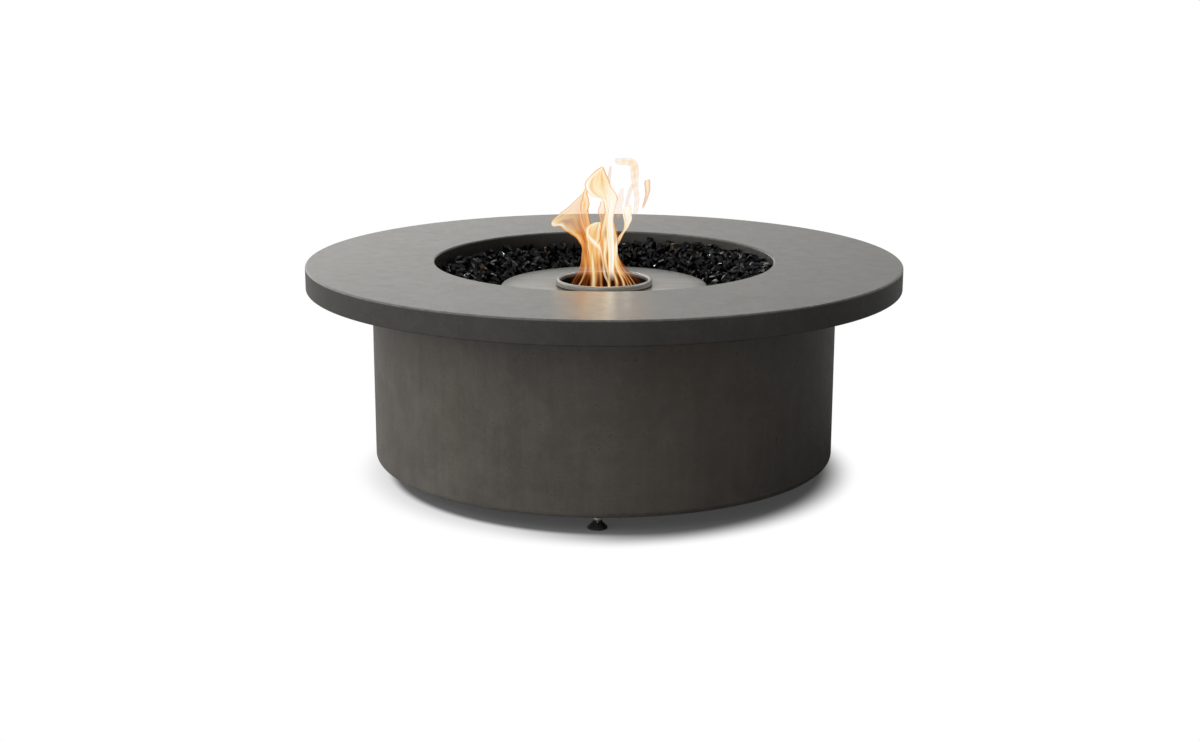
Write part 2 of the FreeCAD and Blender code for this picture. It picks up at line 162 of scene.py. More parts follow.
def endFinish(finish, colour, roughness, height, bump):
    # joins colour and roughness to the shader, and the height as a bump: its depth and strength
    tree = finish.node_tree
    inputs = tree.nodes["Principled BSDF"].inputs
    tree.links.new(colour, inputs["Base Color"])
    tree.links.new(roughness, inputs["Roughness"])
    if bump:
        bumps = addNode("Bump", {"Height": height, "Distance": bump[0], "Strength": bump[1]})
        tree.links.new(bumps[0], inputs["Normal"])
    return finish


def emptyFinish(name):
    # a new material without any nodes
    finish = bpy.data.materials.new(name)
    startTree(finish).nodes.clear()
    return finish


# ---- helpers for meshes
def makePiece(name, points, faces, finish, smooth=True):
    # arrays of points and faces become one object at the origin
    mesh = bpy.data.meshes.new(name)
    mesh.from_pydata(points.tolist(), [], faces if isinstance(faces, list) else faces.tolist())
    mesh.polygons.foreach_set("use_smooth", [smooth] * len(mesh.polygons))
    mesh.materials.append(finish)
    mesh.update()
    piece = bpy.data.objects.new(name, mesh)
    scene.collection.objects.link(piece)
    return piece


def smoothStep(x, start, end, low=0.0, high=1.0):
    # low before start, high past end, and between them low + (high - low) * t * t * (3 - 2 t)
    t = np.clip((x - start) / (end - start), 0, 1)
    return low + (high - low) * t * t * (3 - 2 * t)


def fullTurn(count):
    # angles at even steps once round
    return np.linspace(0, 2 * pi, count, endpoint=False)


def fromPolar(radius, angle, height):
    # points from distance to the upright axis, angle and height
    return np.stack(np.broadcast_arrays(radius * np.cos(angle), radius * np.sin(angle), height), -1)


def ringFaces(rows, around):
    # quads between rows that close into rings, facing outwards when the rows go up
    here = np.arange(around)
    after = (here + 1) % around
    row = np.arange(rows - 1)[:, None] * around
    return np.stack([row + here, row + after, row + around + after, row + around + here], -1).reshape(-1, 4)


# ---- concrete of the top and the base, lengths in metres
mouldStreaks = (60.0, 4.0, 0.7, 0.2, (1.0, 1.0, 0.1))  # faint and upright
concreteTop = {
    "paleTone": (0.08, 0.077, 0.07), "darkTone": (0.067, 0.064, 0.058),
    "brownTone": (0.077, 0.07, 0.06),
    "clouds": ((9.0, 5.0, 0.6, 0.6), (0.32, 0.68)),
    "patches": ((3.2, 3.0, 0.5, 0.3), (0.5, 0.72, 0.0, 0.55)),
    "specks": ((420.0, 2.0, 0.6), (0.25, 0.75, 0.91, 1.09)),
    "streaks": (mouldStreaks, (0.33, 0.67, 0.975, 1.025)),
    "mottle": (46.0, 6.0, 0.72, 0.3), "mottleLevels": (0.92, 1.08),
    "roughness": (0.265, 0.235),  # where the mottle is dark and where it is pale
    "edges": ((0.29, 0.363), (0.508, 0.363)),  # radius and height of the edges that get a painted highlight
    "edgeHighlightFade": (0.00119, 0.0034, 0.85, 0.0),  # by the distance from an edge
    "edgeHighlightBreakup": ((55.0, 4.0, 0.7), (0.3, 0.62, 0.35, 1.0)),
    "edgeHighlightTone": (0.15, 0.145, 0.132),
    "sideShade": (0.3605, 0.3625, 0.59, 1.0),  # by height: painted shade, the side is darker than the top
    "poreCells": 38.0,
    "poreRarity": 0.95,  # the share of cells that have no pinhole
    "poreFade": (0.016, 0.042, 1.0, 0.0),  # by the distance from a pinhole's middle, in cells
    "poreStrength": 0.08, "poreTone": (0.02, 0.019, 0.017),
    "ripple": (26.0, 3.0, 0.5), "fineGrain": (900.0, 2.0, 0.5),
    "relief": (0.16, 0.05, -0.08),  # height of the ripple, of the fine grain and of a pinhole
    "bump": (0.0006, 0.55),
}
concreteBase = {
    **concreteTop,
    "paleTone": (0.09, 0.081, 0.07), "darkTone": (0.073, 0.065, 0.055),
    "brownTone": (0.085, 0.07, 0.054),
    "streaks": (mouldStreaks, (0.33, 0.67, 0.94, 1.06)), "roughness": (0.34, 0.27),
    # painted light on the lower edge, which would otherwise show as a shaded band
    "edges": ((0.397, 0.024),), "edgeHighlightFade": (0.002975, 0.0085, 0.85, 0.0),
    "edgeHighlightTone": (0.112, 0.104, 0.092), "sideShade": None,
}


def concreteFinish(name, look):
    # smooth cast concrete: soft clouds, brown patches, fine specks and rare pinholes, with painted highlights along the
    # edges and painted shade on the top's side
    finish, place = startFinish(name, IOR=1.45)
    mottle = addNoise(place, *look["mottle"])
    colour = addMix(addPattern(place, *look["clouds"]), look["darkTone"], look["paleTone"])
    colour = addMix(addPattern(place, *look["patches"]), colour, look["brownTone"])
    grain = addProduct(addPattern(place, *look["specks"]), addLevels(mottle, look["mottleLevels"]))
    grain = addProduct(grain, addPattern(place, *look["streaks"]))
    colour = addScale(colour, grain)

    radius, height = addCylinder(place)
    # painted shade: the top's side is made darker than its upper face
    if look["sideShade"]:
        colour = addScale(colour, addRange(height, *look["sideShade"]))
    section = addNode("CombineXYZ", {0: radius, 1: height})[0]
    # painted highlight along each edge, broken up by noise
    highlightBreakup = addPattern(place, *look["edgeHighlightBreakup"])
    for edge in look["edges"]:
        edgeHighlight = addRange(addDistance(section, (*edge, 0)), *look["edgeHighlightFade"])
        colour = addMix(addProduct(edgeHighlight, highlightBreakup), colour, look["edgeHighlightTone"])

    # pinholes: a small dark dip in a few of the cells
    cells = addNode("TexVoronoi", {"Vector": place, "Scale": look["poreCells"], "Randomness": 1.0})
    draw = addNode("SeparateColor", {0: cells["Color"]})[0]
    few = addMath("GREATER_THAN", draw, look["poreRarity"])
    hole = addProduct(addRange(cells["Distance"], *look["poreFade"]), few)
    colour = addMix(addProduct(hole, look["poreStrength"]), colour, look["poreTone"])

    relief = 0.0
    parts = (addNoise(place, *look["ripple"]), addNoise(place, *look["fineGrain"]), hole)
    for part, size in zip(parts, look["relief"]):
        relief = addNode("Math", {0: part, 1: size, 2: relief}, operation="MULTIPLY_ADD")[0]
    rough = addLevels(mottle, look["roughness"])
    return endFinish(finish, colour, rough, relief, look["bump"])


# ---- brushed plate round the burner's mouth
plateLook = {
    "darkTone": (0.504, 0.4956, 0.4746), "paleTone": (0.618, 0.6077, 0.58195),
    "bands": ((5.0, 3.0, 0.6, 0.0, (1.0, 9.0, 1.0)), (0.35, 0.65)),
    "strokes": (12.0, 5.0, 0.7, 0.0, (3.0, 70.0, 3.0)),  # brush strokes run along x
    "strokeLevels": (0.94, 1.05), "roughness": (0.3, 0.42),
    "stains": (34.0, 4.0, 0.6, 0.8), "stainSpan": (0.56, 0.74, 0.0, 0.45),
    "stainTone": (0.432, 0.4248, 0.4068),
    "rim": (0.148, 0.1795, 1.0, 0.62),  # by radius: painted shade, the plate darkens towards its rim
    "heat": (0.112, 0.084, 0.0, 0.55),  # and has a straw tint close to the flame
    "heatPatches": (0.3, 0.6, 0.5, 1.0), "heatTone": (0.5, 0.43, 0.33),
    "bump": (0.0002, 0.6),
}


def plateFinish(name, look):
    # long brush strokes, faint stains, painted shade that darkens the rim and a little heat colour round the mouth
    finish, place = startFinish(name, Metallic=1.0)
    radius = addCylinder(place)[0]
    stroke = addNoise(place, *look["strokes"])
    stain = addNoise(place, *look["stains"])
    tone = addMix(addPattern(place, *look["bands"]), look["darkTone"], look["paleTone"])
    tone = addMix(addRange(stain, *look["stainSpan"]), tone, look["stainTone"])
    heat = addProduct(addRange(radius, *look["heat"]), addRange(stain, *look["heatPatches"]))
    tone = addMix(heat, tone, look["heatTone"])
    grain = addLevels(stroke, look["strokeLevels"])
    # painted shade towards the rim, times the brush grain
    tone = addScale(tone, addProduct(addRange(radius, *look["rim"]), grain))
    rough = addLevels(stroke, look["roughness"])
    return endFinish(finish, tone, rough, stroke, look["bump"])


# ---- steel near the fire: the spun vessel and the polished ring
spunSteel = {
    "tone": (0.48, 0.46, 0.44), "grain": (90.0, 4.0, 0.65, 0.0, (1.0, 1.0, 12.0)),
    "grainLevels": (0.92, 1.06), "roughness": (0.289, 0.408),
    "sootRadius": (0.09, 0.08),  # soot sets in at the first and is full at the second
    "sootHeight": (0.27, 0.312),
    "smears": ((48.0, 4.0, 0.6, 0.9), (0.3, 0.65, 0.78, 1.0)),
    "straw": (0.42, 0.28, 0.15),
    "strawSpan": (0.0, 0.45),  # how burnt the steel is where it turns straw, and then black
    "soot": (0.055, 0.04, 0.03), "sootSpan": (0.3, 0.78), "sootRoughness": 0.25,
    "bump": (0.0002, 0.5),
}
polishedSteel = {
    **spunSteel,
    "tone": (0.56, 0.548, 0.525), "grain": (140.0, 4.0, 0.65, 0.0, (1.0, 1.0, 4.0)),
    "roughness": (0.323, 0.456), "sootRadius": (0.077, 0.0755),
    "sootHeight": (0.3255, 0.3175), "straw": (0.17, 0.15, 0.12),
    "soot": (0.01, 0.007, 0.006), "bump": None,
}


def sootyFinish(name, look):
    # steel that has been in the fire: straw, then soot, by radius and by height
    finish, place = startFinish(name, Metallic=1.0)
    radius, height = addCylinder(place)
    grain = addNoise(place, *look["grain"])
    burnt = addProduct(addRange(radius, *look["sootRadius"]), addRange(height, *look["sootHeight"]))
    burnt = addProduct(burnt, addPattern(place, *look["smears"]))
    tone = addMix(addRange(burnt, *look["strawSpan"]), look["tone"], look["straw"])
    tone = addMix(addRange(burnt, *look["sootSpan"]), tone, look["soot"])
    tone = addScale(tone, addLevels(grain, look["grainLevels"]))
    rough = addLevels(grain, look["roughness"])
    rough = addMath("ADD", rough, addProduct(burnt, look["sootRoughness"]))
    return endFinish(finish, tone, rough, grain, look["bump"])


# ---- plain metals, rubber, paint, plastic, wool and ceramic
metalKind = {
    "metallic": 1.0, "clouds": (30.0, 4.0, 0.6, 0.4), "cloudLevels": (0.86, 1.08),
    "grain": (4.0, 0.65),  # the noise's detail and roughness
    "grainLevels": (0.93, 1.05), "roughLevels": (0.85, 1.2), "bumpStrength": 0.5,
}
dullKind = {
    "metallic": 0.0, "clouds": (40.0, 4.0, 0.6, 0.3), "cloudLevels": (0.85, 1.15),
    "grain": (3.0, 0.6), "grainLevels": (1.0, 1.0), "roughLevels": (0.85, 1.15),
    "bumpStrength": 0.6,
}
plainLooks = {  # by slot: name, kind, colour, roughness, scale of the grain and depth of its bump
    "zinc_steel": ("zincSteel", metalKind, (0.58, 0.58, 0.56), 0.33, 200.0, 0.0001),
    "brass_insert": ("brassInsert", metalKind, (0.6, 0.43, 0.19), 0.33, 200.0, 0.0001),
    "black_rubber": ("blackRubber", dullKind, (0.01, 0.01, 0.01), 0.62, 900.0, 0.0002),
    "black_steel": ("powderCoat", dullKind, (0.022, 0.022, 0.023), 0.5, 700.0, 0.0003),
    "black_plastic": ("blackPlastic", dullKind, (0.014, 0.014, 0.014), 0.42, 1400.0, 0.0001),
    "ceramic_wool": ("ceramicWool", dullKind, (0.66, 0.64, 0.58), 0.95, 260.0, 0.0016),
    "ceramic": ("glazedCeramic", dullKind, (0.62, 0.58, 0.5), 0.38, 500.0, 0.0001),
}


def plainFinish(name, kind, colour, roughness, grainScale, depth):
    # a soft change of tone and a fine surface grain
    finish, place = startFinish(name, Metallic=kind["metallic"])
    grain = addNoise(place, grainScale, *kind["grain"])
    dark, pale = ([level * part for part in colour] for level in kind["cloudLevels"])
    tone = addMix(addLevels(addNoise(place, *kind["clouds"]), (0.0, 1.0)), dark, pale)
    tone = addScale(tone, addLevels(grain, kind["grainLevels"]))
    rough = addLevels(grain, [min(level * roughness, 1.0) for level in kind["roughLevels"]])
    return endFinish(finish, tone, rough, grain, (depth, kind["bumpStrength"]))


# ---- black glass
glassLook = {
    "darkTone": (0.0006, 0.0006, 0.0009), "paleTone": (0.007, 0.0074, 0.0095),
    "roughness": ((70.0, 2.0, 0.55), (0.35, 0.75, 0.04, 0.22)),
    "ripple": (160.0, 2.0, 0.5, 0.6), "bump": (0.0006, 0.35),
}


def glassFinish(name, look):
    # near black with sharp facets, each piece a little different in tone
    finish, place = startFinish(name, IOR=1.4)
    tone = addNode("Attribute", attribute_name="tone")["Fac"]
    colour = addMix(tone, look["darkTone"], look["paleTone"])
    rough = addPattern(place, *look["roughness"])
    return endFinish(finish, colour, rough, addNoise(place, *look["ripple"]), look["bump"])


finishes = {slot: plainFinish(*look) for slot, look in plainLooks.items()}
finishes["concrete"] = concreteFinish("castTop", concreteTop)
finishes["brushed_plate"] = plateFinish("brushedPlate", plateLook)
finishes["brushed_steel"] = sootyFinish("spunSteel", spunSteel)
finishes["polished_steel"] = sootyFinish("polishedSteel", polishedSteel)
finishes["black_glass"] = glassFinish("blackGlass", glassLook)
for node in cadNodes.values():
    for slot in node.material_slots:
        slot.material = finishes[slot.material.name]
cadNodes["base_drum"].material_slots[0].material = concreteFinish("castBase", concreteBase)
print("finishes made:", len(finishes))

# ---- broken glass round the burner, metres and radians
fireGlass = {
    "inner": 0.1817,  # clear of the burner plate
    "outer": 0.2893,  # clear of the opening's wall
    "floor": 0.2952, "top": 0.354,
    "bedInner": 0.307,  # height of the bed at the burner and at the wall
    "bedOuter": 0.333,
    "waves": ((3, 0, 0.7, 1.0), (7, 9, 0.0, 1.0), (13, -5, 2.0, 0.7)),  # round the bed: count, slant, start, share
    "waveHeight": 0.0012,
    "heap": (35.0, 0.0125),  # where it is heaped against the wall, in degrees, and how much higher
    "heapSpan": (0.45, 0.95),  # cosines of the angle from there at which the heap begins and is full
    "packed": (240, 12, 0.004),  # packed glass: points round, rows across, depth below the bed
    "layers": (760, 720, 420), "layerLift": (-0.0035, 0.002, 0.008), "corners": 5,
    "size": (0.007, 0.0135),  # half the length of a piece
    "ringReach": (0.55, 1.0, 0.62),  # width and height of a piece's three rings, in half lengths
    "ringLevel": (-1.0, 0.05, 1.0),
    "cornerShift": 0.3,  # of the corners on all three rings, in steps from corner to corner
    "cornerTwist": 0.16,  # and of those on each ring
    "reachSpread": (0.72, 1.12), "levelSpread": (0.75, 1.1), "slope": 0.28,
    "narrow": (0.55, 0.95), "flat": (0.28, 0.55),
    "margin": 0.006,  # between the middle of a piece and the walls
    "spiral": (2.39996, 1.1),  # turn from piece to piece, a sunflower's, and from layer to layer
    "scatter": (0.003, 0.01, 0.0014),  # in radius, angle and height
    "seed": 21,
}


def bedHeight(radius, angle, glass):
    # the straight rise from burner to wall, with low waves round the ring and one high heap
    share = (radius - glass["inner"]) / (glass["outer"] - glass["inner"])
    waves = sum(size * np.sin(count * angle + slant * share + start) for count, slant, start, size in glass["waves"])
    middle, lift = glass["heap"]
    high = lift * share * smoothStep(np.cos(angle - radians(middle)), *glass["heapSpan"])
    return glass["bedInner"] + share * (glass["bedOuter"] - glass["bedInner"]) + glass["waveHeight"] * waves + high


def glassRing(glass):
    # packed glass: rows go up the inner side, over the bed and down the outer side
    around, across, below = glass["packed"]
    radius = glass["inner"] + (glass["outer"] - glass["inner"]) * np.linspace(0, 1, across)
    turn, reach = np.meshgrid(fullTurn(around), radius)
    bottom = np.full((1, around), glass["floor"])
    height = np.concatenate([bottom, bedHeight(reach, turn, glass) - below, bottom])
    reach = np.concatenate([reach[:1], reach, reach[-1:]])
    points = fromPolar(reach, turn[0], height).reshape(-1, 3)
    faces = ringFaces(len(reach) + 1, around) % len(points)  # the last row joins the first: a closed ring
    return points, faces[:, ::-1]


def randomTurns(chance, count):
    # rotation matrices of random unit quaternions
    spin = chance.normal(size=(4, count))
    w, i, j, k = spin / np.sqrt((spin * spin).sum(0))
    return np.stack([
        np.stack([1 - 2 * (j * j + k * k), 2 * (i * j - k * w), 2 * (i * k + j * w)], -1),
        np.stack([2 * (i * j + k * w), 1 - 2 * (i * i + k * k), 2 * (j * k - i * w)], -1),
        np.stack([2 * (i * k - j * w), 2 * (j * k + i * w), 1 - 2 * (i * i + j * j)], -1),
    ], 1)


def glassShapes(glass, chance, total):
    # each piece is a grid of three flat, tilted rings by five corners, turned at random
    corners, rings = glass["corners"], len(glass["ringReach"])
    shift, twist = glass["cornerShift"], glass["cornerTwist"]
    corner = (np.arange(corners) + chance.uniform(-shift, shift, (total, 1, corners))) * (2 * pi / corners)
    corner = corner + chance.uniform(-twist, twist, (total, rings, corners))
    reach = np.array(glass["ringReach"])[:, None] * chance.uniform(*glass["reachSpread"], (total, rings, corners))
    level = np.array(glass["ringLevel"])[:, None] * chance.uniform(*glass["levelSpread"], (total, rings, 1))
    slopeX = chance.normal(0, glass["slope"], (total, rings, 1))
    slopeY = chance.normal(0, glass["slope"], (total, rings, 1))
    x = reach * np.cos(corner)
    y = reach * np.sin(corner) * chance.uniform(*glass["narrow"], (total, 1, 1))
    z = level * chance.uniform(*glass["flat"], (total, 1, 1)) + slopeX * x + slopeY * y
    shape = np.stack([x, y, z], -1) * chance.uniform(*glass["size"], (total, 1, 1, 1))
    return np.einsum("nab,nrcb->nrca", randomTurns(chance, total), shape)


def glassPieces(glass):
    # places even over the ring's area along a sunflower spiral, with a small scatter
    chance = np.random.default_rng(glass["seed"])
    counts, corners, rings = glass["layers"], glass["corners"], len(glass["ringReach"])
    total = sum(counts)
    layer = np.repeat(np.arange(len(counts)), counts)
    order = np.concatenate([np.arange(count) + 0.5 for count in counts])
    share = order / np.array(counts)[layer]
    shape = glassShapes(glass, chance, total)

    inner, outer = glass["inner"] + glass["margin"], glass["outer"] - glass["margin"]
    (pieceTurn, layerTurn), (spreadOut, spreadRound, spreadUp) = glass["spiral"], glass["scatter"]
    radius = np.sqrt(inner ** 2 + (outer ** 2 - inner ** 2) * share) + chance.normal(0, spreadOut, total)
    angle = order * pieceTurn + layer * layerTurn + chance.normal(0, spreadRound, total)
    lift = np.array(glass["layerLift"])[layer] + chance.normal(0, spreadUp, total)
    centre = fromPolar(radius, angle, bedHeight(radius, angle, glass) + lift)
    points = shape + centre[:, None, None, :]

    # nothing reaches the burner, the wall or above the tallest piece
    reach = np.hypot(points[..., 0], points[..., 1])
    points[..., :2] *= (np.clip(reach, glass["inner"], glass["outer"]) / reach)[..., None]
    points[..., 2] = np.clip(points[..., 2], glass["floor"], glass["top"])

    # the first and the last ring close a piece
    start = np.arange(total)[:, None, None] * rings * corners
    quads = (start + ringFaces(rings, corners)).reshape(-1, 4)
    caps = np.stack([np.arange(corners)[::-1], np.arange(corners) + (rings - 1) * corners])
    tone = np.repeat(chance.uniform(0, 1, total) ** 2, rings * corners)
    return points.reshape(-1, 3), quads, (start + caps).reshape(-1, corners), tone


def makeFireGlass(glass):
    base, baseFaces = glassRing(glass)
    points, quads, caps, tone = glassPieces(glass)
    faces = baseFaces.tolist() + (quads + len(base)).tolist() + (caps + len(base)).tolist()
    piece = makePiece("fireGlass", np.concatenate([base, points]), faces, finishes["black_glass"], smooth=False)
    shade = piece.data.attributes.new("tone", "FLOAT", "POINT")
    shade.data.foreach_set("value", np.concatenate([np.zeros(len(base)), tone]).astype(np.float32))
    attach(piece, "table")
    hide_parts("glass_bed", "glass_shards")
    print("fire glass:", sum(glass["layers"]), "pieces")


makeFireGlass(fireGlass)

# ---- threaded stems of the four feet, millimetres
footStem = {
    "sides": ("front", "right", "back", "left"),
    "front": (-10.22, -365.86),  # each next one is a quarter turn further
    "head": (5.9, 4.05, 11.4),  # radius, lowest and highest point
    "headCuts": (0.5, 0.4),  # chamfers at its lower and upper edge
    "neckRadius": 5.2,
    "nut": (6.5, 13.2, 17.7),  # half of the width across the flats, lowest and highest point
    "nutCorner": 1.12,  # reach of its corners, in halves of that width
    "nutCut": (0.8, 0.5),  # width and height of the chamfer on its corners
    "shank": (4.0, 58.0),  # radius and highest point
    "shankCut": 1.0, "pitch": 1.25, "rowsPerPitch": 8, "threadDepth": 0.62,
    "threadWave": (1.35, 0.15),  # a triangle wave's height and how far it is sunk
    "threadStart": (0.3, 2.0),  # above the nut
    "around": 40, "sharpAngle": 34.0,
}


def stemSurface(stem):
    # radius by height and angle: plain discs, a hexagon as the flat's distance over the cosine of the angle from
    # its middle, then a screw whose depth is a triangle wave of height over pitch less the share of a turn
    headRadius, bottom, headTop = stem["head"]
    lowerCut, upperCut = stem["headCuts"]
    nutHalf, nutLow, nutHigh = stem["nut"]
    cutWidth, cutHeight = stem["nutCut"]
    radius, top = stem["shank"]
    turn = fullTurn(stem["around"])
    flat = (turn + pi / 6) % (pi / 3) - pi / 6
    corner = nutHalf * stem["nutCorner"]
    hexagon = np.minimum(nutHalf / np.cos(flat), corner)
    discs = ((bottom, headRadius - lowerCut), (bottom + lowerCut, headRadius), (headTop - upperCut, headRadius),
             (headTop, headRadius - upperCut), (headTop, stem["neckRadius"]), (nutLow, stem["neckRadius"]))
    rows = [(height, np.full_like(turn, reach)) for height, reach in discs]
    rows += [(height, np.minimum(hexagon, corner - shrink)) for height, shrink in (
        (nutLow, cutWidth), (nutLow + cutHeight, 0.0), (nutHigh - cutHeight, 0.0), (nutHigh, cutWidth))]

    climb = np.arange(nutHigh, top + 1e-6, stem["pitch"] / stem["rowsPerPitch"])
    climb[-1] = top
    phase = (climb[:, None] / stem["pitch"] - turn / (2 * pi)) % 1.0
    size, sunk = stem["threadWave"]
    groove = np.clip(size * np.abs(2 * phase - 1) - sunk, 0, 1)
    begin, full = stem["threadStart"]
    ends = smoothStep(climb, nutHigh + begin, nutHigh + full)[:, None]
    point = smoothStep(climb, top - stem["shankCut"], top, 0.0, stem["shankCut"])[:, None]
    screw = radius - stem["threadDepth"] * groove * ends - point
    heights = np.concatenate([[height for height, reach in rows], climb])
    reach = np.concatenate([np.stack([reach for height, reach in rows]), screw])
    return fromPolar(reach, turn, heights[:, None]) / 1000


def makeStems(stem):
    surface = stemSurface(stem)
    count, around = surface.shape[:2]
    sides = ringFaces(count, around).tolist()
    caps = [list(range(around))[::-1], list(range((count - 1) * around, count * around))]
    x, y = stem["front"]
    for side in stem["sides"]:
        points = surface.reshape(-1, 3) + (x / 1000, y / 1000, 0)
        piece = makePiece("stem_" + side, points, sides + caps, finishes["zinc_steel"])
        piece.data.set_sharp_from_angle(angle=radians(stem["sharpAngle"]))
        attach(piece, "foot_stem_" + side + "_body")
        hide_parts("foot_stem_" + side)
        x, y = -y, x
    print("threaded stems:", len(stem["sides"]))


makeStems(footStem)

# ---- rolled ring of the burner's mouth, millimetres
mouthRing = {
    "bead": (79.25, 325.25, 3.75),  # radius and height of the roll's middle, and its own radius
    "beadPoints": 28, "sheet": 1.5, "lipBottom": 319.6, "skirtBottom": 297.25,
    "lipInner": 69.0,
    "bend": (3.0, 0.8),  # between skirt and lip: its reach, and its middle's
    "outerCorner": 2.0,
    "round": 0.35,  # small radius on the sheet's edges
    "around": 256, "sharpAngle": 50.0,
}


def ringProfile(ring):
    # the section as one closed line, metal on its left: over the roll as a half circle, down the skirt, round the
    # lip turned inwards, up the skirt's outer face, back inside the roll and round the outer lip's end
    middle, height, radius = ring["bead"]
    sheet, lip, low, inner, cut = (ring[key] for key in ("sheet", "lipBottom", "skirtBottom", "lipInner", "round"))
    outside, inside = middle + radius, middle - radius
    bend, half = ring["bend"]
    arc = np.linspace(0, pi, ring["beadPoints"])
    over = np.stack([middle + radius * np.cos(arc), height + radius * np.sin(arc)], -1)
    under = np.stack([middle - (radius - sheet) * np.cos(arc), height + (radius - sheet) * np.sin(arc)], -1)
    lipEnd = [(outside - sheet, lip + cut), (outside - sheet + cut, lip), (outside - cut, lip), (outside, lip + cut)]
    skirt = [(inside, low + sheet + bend), (inside - half, low + sheet + half), (inside - bend, low + sheet),
             (inner + cut, low + sheet), (inner, low + sheet - cut), (inner, low + cut), (inner + cut, low),
             (inside, low), (inside + sheet, low + ring["outerCorner"])]
    return np.concatenate([over, skirt, under, lipEnd])


def makeMouthRing(ring):
    section = ringProfile(ring) / 1000
    points = fromPolar(section[:, :1], fullTurn(ring["around"]), section[:, 1:]).reshape(-1, 3)
    faces = ringFaces(len(section) + 1, ring["around"]) % len(points)  # the last row joins the first
    piece = makePiece("mouthRing", points, faces, finishes["polished_steel"])
    piece.data.set_sharp_from_angle(angle=radians(ring["sharpAngle"]))
    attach(piece, "ring")
    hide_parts("flame_ring")
    print("mouth ring:", len(section), "points round its section")


makeMouthRing(mouthRing)
